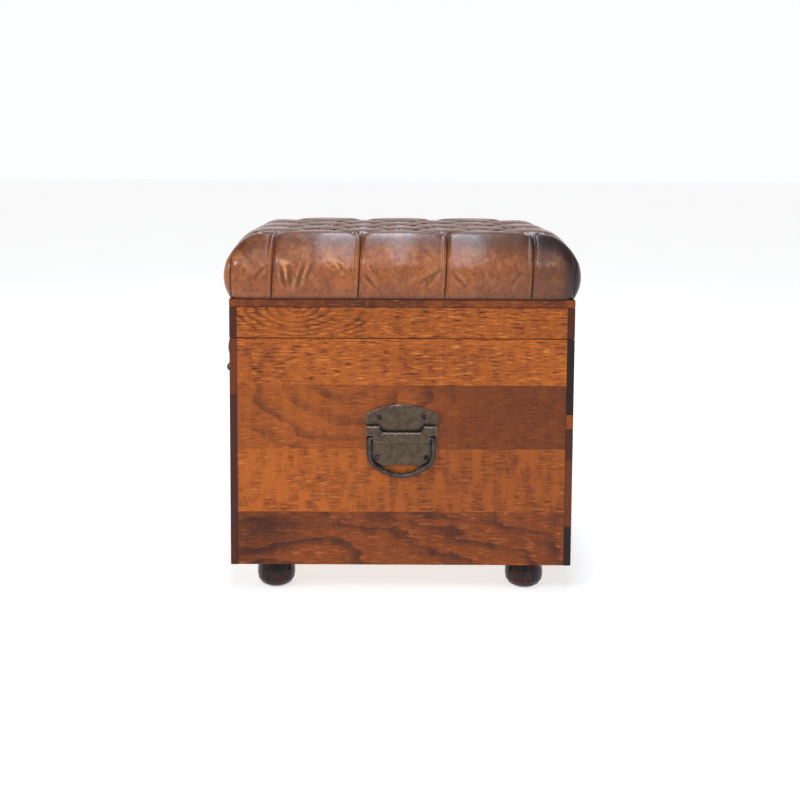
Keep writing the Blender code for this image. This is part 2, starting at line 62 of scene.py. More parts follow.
PAD_HALF = (PAD_HI.x - PAD_LO.x) / 2  # at the widest, part way up the sides
PAD_WIDEST = 26 * MM  # the height where it is widest
PAD_CROWN = 80.5 * MM
EDGE_ROUND = 40 * MM
BASE_TUCK = 7 * MM
CORNER_DROP = 8.5 * MM
CORNER_REACH = 65 * MM
CORNER_SQUARENESS = 5
GRID = 110  # cells across the top
SIDE_ROWS = 18
BUTTON_PITCH = 105 * MM
OUTER_BUTTON = 1.5 * BUTTON_PITCH  # from the middle to the outermost row
BUTTON_RADIUS = 8 * MM
BUTTON_STEPS = 24
BUTTON_DEPTH = 13 * MM
VALLEY_DEPTH = 7.5 * MM
SWELL_FRAMES = 20
SWELL_LIMIT = 5 * MM
PLEAT_COLUMNS = (-1.5, -0.5, 0.5, 1.5)  # in button pitches from the middle of a side
PLEAT_DEPTH = 3.0 * MM
PLEAT_WIDTH = 1.7 * MM
FOLD_WIDTH = 5 * MM
FOLD_RISE = 1.3 * MM
WRINKLE_WIDTH = 2.9 * MM
FAR = 1.0  # stands for a distance from anything that isn't near
# Where the hide is slack beside one pleat: across and up at each end of a fold, and its depth, in mm.
SLACK_FOLDS = (
    (10, 46, 17, 7, 3.2),
    (21, 44, 22, 10, 2.6),
    (40, 46, 27, 5, 3.2),
    (50, 45, 40, 22, 2.2),
    (64, 50, 76, 38, 1.8),
    (74, 52, 93, 30, 3.0),
)


# ---- node trees ----


class Shade:
    """A material's node tree, built by short calls that return sockets."""

    def __init__(self, name):
        self.material = bpy.data.materials.new(name)
        self.material.use_nodes = True
        self.nodes = self.material.node_tree.nodes
        self.links = self.material.node_tree.links
        self.surface = self.nodes["Principled BSDF"]
        self.place = self.nodes.new("ShaderNodeTexCoord").outputs["Object"]

    def feed(self, socket, value):
        if isinstance(value, bpy.types.NodeSocket):
            self.links.new(value, socket)
        elif value is not None:
            socket.default_value = value

    def math(self, operation, *values, clamp=False):
        node = self.nodes.new("ShaderNodeMath")
        node.operation = operation
        node.use_clamp = clamp
        for socket, value in zip(node.inputs, values):
            self.feed(socket, value)
        return node.outputs[0]

    def parts(self, vector):
        node = self.nodes.new("ShaderNodeSeparateXYZ")
        self.feed(node.inputs[0], vector)
        return node.outputs

    def vector(self, x, y, z):
        node = self.nodes.new("ShaderNodeCombineXYZ")
        for socket, value in zip(node.inputs, (x, y, z)):
            self.feed(socket, value)
        return node.outputs[0]

    def stretch(self, vector, scale, shift=(0, 0, 0)):
        node = self.nodes.new("ShaderNodeMapping")
        self.feed(node.inputs["Vector"], vector)
        node.inputs["Scale"].default_value = scale
        node.inputs["Location"].default_value = shift
        return node.outputs[0]

    def noise(self, vector, scale=1.0, detail=3.0, roughness=0.55, distortion=0.0):
        node = self.nodes.new("ShaderNodeTexNoise")
        self.feed(node.inputs["Vector"], vector)
        node.inputs["Scale"].default_value = scale
        node.inputs["Detail"].default_value = detail
        node.inputs["Roughness"].default_value = roughness
        node.inputs["Distortion"].default_value = distortion
        return node.outputs["Fac"]

    def cells(self, vector, scale):
        node = self.nodes.new("ShaderNodeTexVoronoi")
        self.feed(node.inputs["Vector"], vector)
        node.inputs["Scale"].default_value = scale
        return node.outputs["Distance"]

    def fit(self, value, low, high, out_low=0.0, out_high=1.0):
        node = self.nodes.new("ShaderNodeMapRange")
        node.interpolation_type = "SMOOTHSTEP"
        for socket, number in zip(node.inputs, (value, low, high, out_low, out_high)):
            self.feed(socket, number)
        return node.outputs[0]

    def mix(self, factor, a, b, blend="MIX"):
        node = self.nodes.new("ShaderNodeMix")
        node.data_type = "RGBA"
        node.blend_type = blend
        self.feed(node.inputs[0], factor)
        for socket, value in ((node.inputs[6], a), (node.inputs[7], b)):
            self.feed(socket, (*value, 1) if isinstance(value, tuple) else value)
        return node.outputs[2]

    def bump(self, height, distance, strength=1.0, normal=None):
        node = self.nodes.new("ShaderNodeBump")
        node.inputs["Strength"].default_value = strength
        node.inputs["Distance"].default_value = distance
        self.feed(node.inputs["Height"], height)
        self.feed(node.inputs["Normal"], normal)
        return node.outputs[0]

    def attribute(self, name):
        node = self.nodes.new("ShaderNodeAttribute")
        node.attribute_name = name
        return node.outputs["Fac"]

    def edge_wear(self, radius):
        """Where the surface turns a corner within this radius, from 0 to 1, and the rounded normal."""
        bevel = self.nodes.new("ShaderNodeBevel")
        bevel.samples = 4
        bevel.inputs["Radius"].default_value = radius
        flat = self.nodes.new("ShaderNodeNewGeometry").outputs["Normal"]
        turn = self.nodes.new("ShaderNodeVectorMath")
        turn.operation = "DOT_PRODUCT"
        self.feed(turn.inputs[0], bevel.outputs[0])
        self.feed(turn.inputs[1], flat)
        return self.fit(turn.outputs["Value"], 0.99, 0.82), bevel.outputs[0]

    def painted_shade_under(self, reach):
        """Painted shade: how far the surface is tucked under something within this reach, from 0 to 1."""
        node = self.nodes.new("ShaderNodeAmbientOcclusion")
        node.samples = 8
        node.inputs["Distance"].default_value = reach
        return self.fit(node.outputs["AO"], 0.85, 0.35)

    def finish(self, color, roughness, normal=None, **constants):
        self.feed(self.surface.inputs["Base Color"], (*color, 1) if isinstance(color, tuple) else color)
        self.feed(self.surface.inputs["Roughness"], roughness)
        self.feed(self.surface.inputs["Normal"], normal)
        for name, value in constants.items():
            self.surface.inputs[name.replace("_", " ")].default_value = value
        return self.material


# ---- wood ----


class Board:
    """One board's colours and figure. A figure is (centre along, centre up, half length, half height, rings).
    drift is (from, to, share): where along the board it turns darker, and by how much."""

    def __init__(
        self, dark, light, fleck=0.5, figure=None, figure_strength=0.5, ripple=0.25, tone=0.5, drift=None
    ):
        self.dark = dark
        self.light = light
        self.fleck = fleck
        self.figure = figure
        self.figure_strength = figure_strength
        self.ripple = ripple
        self.tone = tone
        self.drift = drift


GOLD = (0.62, 0.200, 0.030)
AMBER = (0.42, 0.098, 0.009)
HONEY = (0.32, 0.071, 0.007)
TAWNY = (0.24, 0.050, 0.006)
RUSSET = (0.135, 0.026, 0.005)
UMBER = (0.065, 0.014, 0.004)
SOOT = (0.016, 0.007, 0.005)
PLUM = (0.060, 0.013, 0.008)
SHADOW = (0.30, 0.26, 0.42)


def board_figure(shade, grain, board):
    """Growth rings as ellipses round a centre, wandering a little: 1 on a dark line."""
    along, up, half_length, half_height, rings = board.figure
    x, _, z = shade.parts(grain)
    across = shade.math("DIVIDE", shade.math("SUBTRACT", x, along), half_length)
    height = shade.math("DIVIDE", shade.math("SUBTRACT", z, up), half_height)
    square = shade.math("ADD", shade.math("MULTIPLY", across, across), shade.math("MULTIPLY", height, height))
    radius = shade.math("SQRT", square)
    wander = shade.noise(shade.stretch(grain, (9, 9, 28)), detail=4)
    phase = shade.math("MULTIPLY", shade.math("ADD", radius, shade.math("MULTIPLY", wander, 0.60)), rings)
    ring = shade.math("FRACT", phase)
    line = shade.math("MULTIPLY", shade.fit(ring, 0.35, 0.90), shade.fit(ring, 1.0, 0.93))
    gaps = shade.noise(shade.stretch(grain, (14, 14, 40), (3, 0, 5)), detail=2)
    broken = shade.fit(gaps, 0.30, 0.58, 0.15, 1.0)
    near = shade.fit(radius, 2.0, 1.3, 0.12, 1.0)
    return shade.math("MULTIPLY", shade.math("MULTIPLY", line, broken), near)


def board_colour(shade, grain, board, shift):
    """(colour, fleck height) of one board, whose grain runs along the first axis of grain."""
    moved = shade.stretch(grain, (1, 1, 1), shift)
    tone = shade.noise(shade.stretch(moved, (5, 8, 22)), detail=4, distortion=0.6)
    color = shade.mix(shade.fit(tone, 0.5 - board.tone / 2, 0.5 + board.tone / 2), board.dark, board.light)
    flecks = shade.noise(shade.stretch(moved, (62, 200, 430)), detail=3, roughness=0.65, distortion=0.4)
    spots = shade.math("MULTIPLY", shade.fit(flecks, 0.50, 0.68), board.fleck, clamp=True)
    glints = shade.math("MULTIPLY", shade.fit(flecks, 0.46, 0.32), board.fleck * 0.75, clamp=True)
    color = shade.mix(glints, color, GOLD)
    color = shade.mix(spots, color, UMBER)
    if board.figure:
        lines = board_figure(shade, grain, board)
        color = shade.mix(shade.math("MULTIPLY", lines, board.figure_strength), color, UMBER)
    ripple = shade.noise(shade.stretch(moved, (75, 40, 26)), detail=3, roughness=0.5)
    blocks = shade.math("MULTIPLY", shade.fit(ripple, 0.42, 0.62), board.ripple)
    color = shade.mix(blocks, color, AMBER)
    pores = shade.noise(shade.stretch(moved, (130, 800, 1500)), detail=2, roughness=0.6)
    dashes = shade.fit(pores, 0.56, 0.70)
    color = shade.mix(shade.math("MULTIPLY", dashes, 0.45), color, SOOT)
    if board.drift:
        start, end, share = board.drift
        wander = shade.math("MULTIPLY", shade.math("SUBTRACT", tone, 0.5), 0.35)
        along = shade.math("ADD", shade.parts(grain)["X"], wander)
        color = shade.mix(shade.fit(along, start, end, 0.0, share), color, SHADOW, "MULTIPLY")
    return color, dashes


def stacked(shade, height, edges, colors):
    """Colours one above another, changing at each height in edges."""
    result = colors[0]
    for edge, color in zip(edges, colors[1:]):
        above = shade.math("GREATER_THAN", height, edge)
        result = shade.mix(above, result, color)
    return result


def end_grain(shade, edges, colors):
    """The sawn ends of boards: short dark pores on flat tones, one for each board."""
    _, _, z = shade.parts(shade.place)
    tones = stacked(shade, z, edges, colors)
    pores = shade.noise(shade.stretch(shade.place, (500, 500, 260)), detail=3, roughness=0.7)
    return shade.mix(shade.math("MULTIPLY", shade.fit(pores, 0.5, 0.66), 0.45), tones, SOOT)


def wood(name, along, boards, edges=(), end_edges=(), end_colors=(RUSSET,), shift=0.0, gloss=0.30):
    """A lacquered panel of glued boards, stacked in z, whose grain runs along x or y."""
    shade = Shade(name)
    x, y, z = shade.parts(shade.place)
    grain = shade.vector(y, x, z) if along == "y" else shade.vector(x, y, z)
    made = []
    for i, board in enumerate(boards):
        made.append(board_colour(shade, grain, board, (shift + 0.37 * i, 0.19 * i, 0.53 * i)))
    color = stacked(shade, z, edges, [color for color, _ in made])
    normals = shade.nodes.new("ShaderNodeTexCoord").outputs["Normal"]
    facing = shade.math("ABSOLUTE", shade.parts(normals)["Y" if along == "y" else "X"])
    ends = end_grain(shade, end_edges, end_colors)
    color = shade.mix(shade.math("GREATER_THAN", facing, 0.8), color, ends)
    wear, _ = shade.edge_wear(1.6 * MM)
    color = shade.mix(shade.math("MULTIPLY", wear, 0.55), color, SOOT)
    haze = shade.noise(shade.place, scale=34, detail=4)
    scratch = shade.noise(shade.stretch(grain, (40, 300, 900)), detail=2)
    rough = shade.fit(haze, 0.3, 0.7, gloss, gloss + 0.16)
    rough = shade.math("ADD", rough, shade.math("MULTIPLY", scratch, 0.06))
    _, first_dashes = made[0]
    sunk = shade.math("MULTIPLY", first_dashes, 0.5)
    height = shade.math("SUBTRACT", shade.math("MULTIPLY", haze, 0.5), sunk)
    normal = shade.bump(height, 0.10 * MM, 0.6)
    return shade.finish(color, rough, normal, Specular_IOR_Level=0.17, Coat_Weight=0.10, Coat_Roughness=0.12)


END_BOARDS = (
    Board(RUSSET, TAWNY, 0.50, (-0.14, -0.06, 0.30, 0.17, 5.5), 0.95, 0.10, 0.65, (-0.02, -0.20, 0.45)),
    Board(TAWNY, AMBER, 0.80, None, 0.0, 0.90, 0.6, (-0.12, 0.04, 0.36)),
    Board(TAWNY, HONEY, 0.45, (-0.060, 0.270, 0.085, 0.060, 2.6), 0.65, 0.30, 0.6, (-0.10, 0.13, 0.72)),
    Board(TAWNY, AMBER, 1.10, None, 0.0, 0.45, 0.5),
)
END_EDGES = (0.1092, 0.1879, 0.2671)
FRONT_BOARDS = (
    Board(UMBER, TAWNY, 0.40, (0.05, 0.02, 0.40, 0.12, 5.0), 0.6, 0.15, 0.6),
    Board(RUSSET, HONEY, 0.45, None, 0.0, 0.35, 0.6),
    Board(TAWNY, AMBER, 0.35, (-0.09, 0.21, 0.16, 0.08, 3.0), 0.45, 0.25, 0.6),
    Board(TAWNY, AMBER, 0.75, None, 0.0, 0.30, 0.6),
)
FRONT_EDGES = (0.0882, 0.151, 0.2555)
FRONT_ENDS = (UMBER, PLUM, PLUM, RUSSET)
BACK_EDGES = (0.0912, 0.1743, 0.2137, 0.2309)
BACK_ENDS = (SOOT, RUSSET, PLUM, TAWNY, SOOT)
RAIL_BOARD = (Board(TAWNY, AMBER, 1.10, (-0.115, 0.362, 0.062, 0.026, 5.0), 0.85, 0.35, 0.6),)
TOP_BOARD = (Board(UMBER, RUSSET, 0.45, None, 0.0, 0.25, 0.5),)


def dark_wood():
    """Turned feet, stained almost black, with the red of the wood through the polish."""
    shade = Shade("foot_wood")
    lines = shade.noise(shade.stretch(shade.place, (160, 160, 40)), detail=4, roughness=0.6)
    color = shade.mix(shade.fit(lines, 0.40, 0.68), (0.006, 0.004, 0.004), (0.045, 0.010, 0.006))
    wear, _ = shade.edge_wear(1.5 * MM)
    color = shade.mix(shade.math("MULTIPLY", wear, 0.5), color, (0.06, 0.018, 0.009))
    rough = shade.fit(shade.noise(shade.place, scale=90, detail=3), 0.3, 0.7, 0.20, 0.34)
    normal = shade.bump(lines, 0.08 * MM, 0.5)
    return shade.finish(
        color, rough, normal, Specular_IOR_Level=0.2, Coat_Weight=0.15, Coat_Roughness=0.10
    )


def plywood():
    """Raw ply: pale veneer with a wandering grain."""
    shade = Shade("ply")
    grain = shade.noise(shade.stretch(shade.place, (7, 70, 70)), detail=5, roughness=0.6, distortion=1.2)
    color = shade.mix(shade.fit(grain, 0.32, 0.68), (0.22, 0.115, 0.052), (0.42, 0.25, 0.13))
    fibres = shade.noise(shade.stretch(shade.place, (60, 900, 900)), detail=2)
    color = shade.mix(shade.math("MULTIPLY", shade.fit(fibres, 0.52, 0.7), 0.4), color, (0.16, 0.08, 0.04))
    return shade.finish(color, 0.62, shade.bump(fibres, 0.12 * MM, 0.5))


# ---- metal ----


def metal(name, dark, light, bright, metallic, rough, pitting=0.14):
    """Cast metal: mottled with age, pitted, rubbed brighter along its edges, and near black with painted
    shade where it is tucked under something.
    """
    shade = Shade(name)
    mottle = shade.noise(shade.place, scale=150, detail=4, roughness=0.55, distortion=0.3)
    color = shade.mix(shade.fit(mottle, 0.25, 0.75), dark, light)
    grime = shade.noise(shade.place, scale=60, detail=3)
    color = shade.mix(shade.fit(grime, 0.55, 0.75, 0.0, 0.40), color, dark)
    wear, rounded = shade.edge_wear(0.9 * MM)
    rubbed = shade.math("MULTIPLY", wear, shade.fit(mottle, 0.35, 0.6, 0.35, 1.0))
    color = shade.mix(rubbed, color, bright)
    # painted shade: darkened almost to black where the surface is tucked under something, as under the
    # handle's hood
    color = shade.mix(shade.math("MULTIPLY", shade.painted_shade_under(7 * MM), 0.85), color, (0.004, 0.003, 0.003))
    pits = shade.noise(shade.place, scale=900, detail=3, roughness=0.6)
    height = shade.math("ADD", shade.math("MULTIPLY", mottle, 0.7), shade.math("MULTIPLY", pits, 0.4))
    normal = shade.bump(height, pitting * MM, 0.7, rounded)
    gloss = shade.fit(mottle, 0.3, 0.7, rough, rough + 0.18)
    gloss = shade.math("SUBTRACT", gloss, shade.math("MULTIPLY", rubbed, 0.12))
    return shade.finish(color, gloss, normal, Metallic=metallic)


# ---- leather ----


def leather():
    """Waxed hide with a fine pebbled grain: mottled, with painted shade in its creases, and paler where it is
    pulled tight, partly a painted highlight.
    """
    shade = Shade("leather")
    crease_shade = shade.attribute("crease_shade")
    crown = shade.attribute("crown")
    shade_and_hem = shade.attribute("shade_and_hem")
    across = shade.attribute("across")
    # masks at the pleat fold lines and along the valleys on top, for painted shade and for the fold's bump
    cut = shade.fit(shade.math("ABSOLUTE", across), 1.3 * MM, 0.35 * MM)
    valley = shade.fit(shade.math("ABSOLUTE", shade.attribute("valley")), 2.6 * MM, 0.4 * MM)
    outside = shade.fit(across, -6.0 * MM, -5.0 * MM)
    strip = shade.math("MULTIPLY", outside, shade.fit(across, 0.2 * MM, -0.8 * MM))
    cloud = shade.noise(shade.place, scale=16, detail=6, roughness=0.66, distortion=0.6)
    color = shade.mix(shade.fit(cloud, 0.30, 0.70), (0.240, 0.057, 0.010), (0.385, 0.103, 0.018))
    speck = shade.noise(shade.place, scale=210, detail=5, roughness=0.75)
    color = shade.mix(shade.fit(speck, 0.42, 0.66, 0.0, 0.80), color, (0.130, 0.034, 0.012))
    patches = shade.noise(shade.place, scale=70, detail=6, roughness=0.7)
    # paler on the crowns of the puffs: partly hide pulled tight and rubbed, partly a painted highlight
    rub_and_highlight = shade.math("MULTIPLY", crown, shade.fit(patches, 0.46, 0.64))
    color = shade.mix(shade.math("MULTIPLY", rub_and_highlight, 0.36), color, (0.72, 0.285, 0.110))
    # painted highlight along the raised lips beside the wrinkles
    color = shade.mix(shade.math("MULTIPLY", shade.attribute("ridge_highlight"), 0.55), color, (0.80, 0.38, 0.17))
    # a faint painted highlight on the folded strip beside each pleat, partly rubbed paler hide
    color = shade.mix(shade.math("MULTIPLY", strip, 0.12), color, (0.60, 0.22, 0.08))
    # painted shade on top, at one corner and towards one end of a side, and darker along the hem
    color = shade.mix(shade_and_hem, color, (0.030, 0.013, 0.009))
    # painted shade: near black in the pleat folds, along the valleys on top and in the creases
    dark = shade.math("MAXIMUM", shade.math("MAXIMUM", cut, valley), crease_shade)
    color = shade.mix(shade.math("MULTIPLY", dark, 0.92), color, (0.014, 0.006, 0.004))
    pebble = shade.cells(shade.place, 900)
    upright = shade.stretch(shade.place, (1, 1, 0.5))
    wrinkle = shade.noise(upright, scale=95, detail=5, roughness=0.62, distortion=1.6)
    height = shade.math("ADD", shade.math("MULTIPLY", pebble, 0.35), shade.math("MULTIPLY", wrinkle, 1.2))
    step = shade.bump(shade.math("SUBTRACT", strip, shade.math("MULTIPLY", cut, 0.8)), 1.1 * MM, 0.8)
    rough = shade.fit(shade.noise(shade.place, scale=38, detail=4), 0.3, 0.7, 0.24, 0.38)
    rough = shade.math("ADD", rough, shade.math("MULTIPLY", dark, 0.25))
    normal = shade.bump(height, 0.55 * MM, 0.65, step)
    return shade.finish(color, rough, normal, Specular_IOR_Level=0.28, Coat_Weight=0.26, Coat_Roughness=0.14)


# ---- the seat ----


def grid_point(x, y, level):
    """A point on a plain block of the seat's size, pressed out to its rounded outline."""
    inner = PAD_HALF - EDGE_ROUND
    ex, ey = max(abs(x) - inner, 0), max(abs(y) - inner, 0)
    rho = (ex**CORNER_SQUARENESS + ey**CORNER_SQUARENESS) ** (1 / CORNER_SQUARENESS)
    lift = max(level - PAD_WIDEST, 0)
    rise = PAD_CROWN - PAD_WIDEST
    if rho > 0 or lift > 0:
        scale = 1 / math.sqrt((rho / EDGE_ROUND) ** 2 + (lift / rise) ** 2)
    else:
        scale = 1
    below = max(1 - level / PAD_WIDEST, 0)
    tuck = 1 - BASE_TUCK / PAD_HALF * below**2
    px = math.copysign(min(abs(x), inner) + ex * scale, x) * tuck
    py = math.copysign(min(abs(y), inner) + ey * scale, y) * tuck
    return px, py, min(level, PAD_WIDEST) + lift * scale


def seat_blank():
    """The seat before it is buttoned: an even grid of quads over the top and sides, still open below."""
    mesh = bmesh.new()
    ticks = [PAD_HALF * (2 * i / GRID - 1) for i in range(GRID + 1)]
    top = [[mesh.verts.new(grid_point(x, y, PAD_CROWN)) for y in ticks] for x in ticks]
    for i in range(GRID):
        for j in range(GRID):
            mesh.faces.new((top[i][j], top[i + 1][j], top[i + 1][j + 1], top[i][j + 1]))
    rim = [(i, 0) for i in range(GRID)] + [(GRID, j) for j in range(GRID)]
    rim += [(GRID - i, GRID) for i in range(GRID)] + [(0, GRID - j) for j in range(GRID)]
    above = [top[i][j] for i, j in rim]
    for row in range(1, SIDE_ROWS + 1):
        level = PAD_CROWN * (1 - row / SIDE_ROWS)
        ring = [mesh.verts.new(grid_point(ticks[i], ticks[j], level)) for i, j in rim]
        for k in range(len(rim)):
            n = (k + 1) % len(rim)
            mesh.faces.new((above[k], ring[k], ring[n], above[n]))
        above = ring
    bmesh.ops.recalc_face_normals(mesh, faces=mesh.faces)
    data = bpy.data.meshes.new("seat")
    mesh.to_mesh(data)
    mesh.free()
    return data


def button_places():
    """The plan of the buttons: four rows of four, and three rows of three between them."""
    outer = [((i - 1.5) * BUTTON_PITCH, (j - 1.5) * BUTTON_PITCH) for i in range(4) for j in range(4)]
    inner = [((i - 1) * BUTTON_PITCH, (j - 1) * BUTTON_PITCH) for i in range(3) for j in range(3)]
    return outer, inner


def valley_lines():
    """The valleys between the buttons, as plan segments, and the pleats that run out to the edge."""
    outer, inner = button_places()
    half = BUTTON_PITCH / 2
    diagonals = []
    for x, y in inner:
        for sx, sy in ((-1, -1), (-1, 1), (1, -1), (1, 1)):
            diagonals.append(((x, y), (x + sx * half, y + sy * half)))
    pleats = []
    for x, y in outer:
        if abs(x) > OUTER_BUTTON - MM:
            pleats.append(((x, y), (math.copysign(PAD_HALF * 1.2, x), y)))
        if abs(y) > OUTER_BUTTON - MM:
            pleats.append(((x, y), (x, math.copysign(PAD_HALF * 1.2, y))))
    return diagonals, pleats


def to_segment(points, start, end):
    """(distance, side) of each point from a segment in plan, where side is -1 or 1."""
    start, end = np.array(start), np.array(end)
    line = end - start
    place = np.clip((points - start) @ line / (line @ line), 0, 1)
    away = points - (start + place[:, None] * line)
    side = away[:, 0] * -line[1] + away[:, 1] * line[0]
    return np.linalg.norm(away, axis=1), np.sign(side)


def nearest(points, segments):
    """The least distance from any of the segments, and the side of that segment."""
    best = np.full(len(points), np.inf)
    side = np.zeros(len(points))
    for start, end in segments:
        distance, sign = to_segment(points, start, end)
        closer = distance < best
        best[closer] = distance[closer]
        side[closer] = sign[closer]
    return best, side


def smooth(value, low, high):
    t = np.clip((value - low) / (high - low), 0, 1)
    return t * t * (3 - 2 * t)


def puff(distance, reach):
    """0 in a valley, rising as a quarter circle to 1 at its reach."""
    t = np.clip(distance / reach, 0, 1)
    return np.sqrt(1 - (1 - t) ** 2)


def seat_fields(points):
    """(depth, distance from a valley, distance from a button) of each point: depth is how far it sinks."""
    plan = points[:, :2]
    diagonals, pleats = valley_lines()
    outer, inner = button_places()
    valley, _ = nearest(plan, diagonals)
    pleat, _ = nearest(plan, pleats)
    button = np.min([np.linalg.norm(plan - np.array(place), axis=1) for place in outer + inner], axis=0)
    out = np.max(np.abs(plan), axis=1)
    fall = smooth(out, OUTER_BUTTON, PAD_HALF - 12 * MM)
    deep = VALLEY_DEPTH * (1 - puff(valley, 36 * MM))
    pleat_reach = (26 * (1 - fall) + 9 * fall) * MM
    tight = (VALLEY_DEPTH * (1 - fall) + 1.6 * MM * fall) * (1 - puff(pleat, pleat_reach))
    broad = 2.3 * MM * fall * (0.5 + 0.5 * np.cos(np.pi * np.clip(pleat / (BUTTON_PITCH / 2), 0, 1)))
    both = np.maximum(deep, tight + broad)
    hole = BUTTON_DEPTH * np.exp(-((button / (13 * MM)) ** 2))
    return both + hole, np.minimum(valley, pleat), button


def buttoned(points, normals):
    """The blank's points, sunk along their normals, with the corners let down."""
    sink, _, _ = seat_fields(points)
    high = smooth(points[:, 2], PAD_WIDEST, PAD_CROWN * 0.75)
    low = smooth(points[:, 2], 0, 14 * MM)
    sink = sink * (high + (1 - high) * 0.40 * low)
    moved = points - normals * sink[:, None]
    corner = smooth(np.min(np.abs(points[:, :2]), axis=1), PAD_HALF - CORNER_REACH, PAD_HALF)
    moved[:, 2] -= CORNER_DROP * corner * smooth(points[:, 2], 20 * MM, PAD_CROWN)
    return moved


def read_points(data):
    points = np.empty(len(data.vertices) * 3)
    data.vertices.foreach_get("co", points)
    return points.reshape(-1, 3)


def read_normals(data):
    normals = np.empty(len(data.vertices) * 3)
    data.vertex_normals.foreach_get("vector", normals)
    return normals.reshape(-1, 3)


def write_points(data, points):
    data.vertices.foreach_set("co", points.ravel())
    data.update()


def inflate(seat):
    """Cloth under pressure, held at its buttons, valleys and base, for a swell up to SWELL_LIMIT."""
    before = read_points(seat.data)
    _, valley, button = seat_fields(before)
    hold = np.maximum(1 - smooth(valley, 2 * MM, 7 * MM), 1 - smooth(button, 6 * MM, 12 * MM))
    hold = np.maximum(hold * 0.9, 1 - smooth(before[:, 2], 3 * MM, 10 * MM))
    group = seat.vertex_groups.new(name="held")
    for index, weight in enumerate(hold):
        if weight > 0.01:
            group.add([index], float(weight), "REPLACE")
    cloth = seat.modifiers.new("swell", "CLOTH")
    cloth.settings.quality = 5
    cloth.settings.mass = 0.4
    cloth.settings.tension_stiffness = 12
    cloth.settings.compression_stiffness = 4
    cloth.settings.shear_stiffness = 4
    cloth.settings.bending_stiffness = 0.6
    cloth.settings.vertex_group_mass = group.name
    cloth.settings.pin_stiffness = 1
    cloth.settings.use_pressure = True
    cloth.settings.uniform_pressure_force = 4
    cloth.settings.effector_weights.gravity = 0
    cloth.collision_settings.use_collision = False
    cloth.collision_settings.use_self_collision = False
    for step in range(1, SWELL_FRAMES + 1):
        bpy.context.scene.frame_set(step)
    evaluated = seat.evaluated_get(bpy.context.evaluated_depsgraph_get())
    after = read_points(evaluated.data)
    seat.modifiers.remove(cloth)
    bpy.context.scene.frame_set(1)
    move = after - before
    length = np.linalg.norm(move, axis=1, keepdims=True)
    write_points(seat.data, before + move * np.minimum(1, SWELL_LIMIT / np.maximum(length, 1e-9)))


def apply_subdivision(seat):
    modifier = seat.modifiers.new("smooth", "SUBSURF")
    modifier.levels = 1
    modifier.render_levels = 1
    evaluated = seat.evaluated_get(bpy.context.evaluated_depsgraph_get())
    finer = bpy.data.meshes.new_from_object(evaluated)
    seat.modifiers.remove(modifier)
    seat.data = finer


def close_base(seat):
    """Closes the seat with one flat face where it rests on its board."""
    mesh = bmesh.new()
    mesh.from_mesh(seat.data)
    bmesh.ops.contextual_create(mesh, geom=[edge for edge in mesh.edges if edge.is_boundary])
    bmesh.ops.recalc_face_normals(mesh, faces=mesh.faces)
    mesh.to_mesh(seat.data)
    mesh.free()


def pucker_lines():
    """Short wrinkles beside pleats and round buttons, as (start, end, depth) in the seat's own frame."""
    rng = np.random.default_rng(SEED)
    lines = []
    turns = [Matrix.Rotation(k * math.pi / 2, 3, "Z") for k in range(4)]
    for k, turn in enumerate(turns):
        for column in PLEAT_COLUMNS:
            for _ in range(3):
                side = rng.choice((-1, 1))
                beside = column * BUTTON_PITCH + side * rng.uniform(6, 10) * MM
                start = Vector((PAD_HALF, beside, rng.uniform(30, 58) * MM))
                reach = rng.uniform(14, 38) * MM
                slope = rng.uniform(0.6, 1.6)
                end = start + Vector((0, side * reach / slope * 0.7, -reach * 0.75))
                lines.append((turn @ start, turn @ end, rng.uniform(1.2, 2.8) * MM))
        for corner in (-1, 1):
            for _ in range(5):
                beside = corner * (PAD_HALF - rng.uniform(12, 44) * MM)
                start = Vector((PAD_HALF, beside, rng.uniform(44, 62) * MM))
                end = start + Vector((0, corner * rng.uniform(-8, 8) * MM, -rng.uniform(10, 20) * MM))
                lines.append((turn @ start, turn @ end, rng.uniform(1.0, 2.2) * MM))
    for start_across, start_up, end_across, end_up, depth in SLACK_FOLDS:
        start = Vector((PAD_HALF, start_across * MM - OUTER_BUTTON, start_up * MM))
        end = Vector((PAD_HALF, end_across * MM - OUTER_BUTTON, end_up * MM))
        lines.append((start, end, depth * MM))
    outer, inner = button_places()
    for x, y in outer + inner:
        for spoke in range(7):
            angle = math.tau * (spoke + rng.uniform(-0.3, 0.3)) / 7
            near, far = 9 * MM, rng.uniform(18, 32) * MM
            way = Vector((math.cos(angle), math.sin(angle), 0))
            base = Vector((x, y, PAD_CROWN - 10 * MM))
            end = base + way * far + Vector((0, 0, 8 * MM))
            lines.append((base + way * near, end, rng.uniform(0.7, 1.5) * MM))
    return lines


def crease_depth(points, lines):
    """Wrinkles as grooves with a raised lip on each side."""
    total = np.zeros(len(points))
    for start, end, depth in lines:
        start, end = np.array(start), np.array(end)
        line = end - start
        middle = (start + end) / 2
        reach = np.linalg.norm(line) / 2 + 5 * WRINKLE_WIDTH
        near = np.nonzero(np.linalg.norm(points - middle, axis=1) < reach)[0]
        if not len(near):
            continue
        place = np.clip((points[near] - start) @ line / (line @ line), 0, 1)
        away = np.linalg.norm(points[near] - (start + place[:, None] * line), axis=1)
        taper = np.sin(np.pi * np.clip(place * 0.8 + 0.15, 0, 1))
        t = away / WRINKLE_WIDTH
        total[near] += depth * taper * (1 - 0.9 * t * t) * np.exp(-(t * t))
    return total


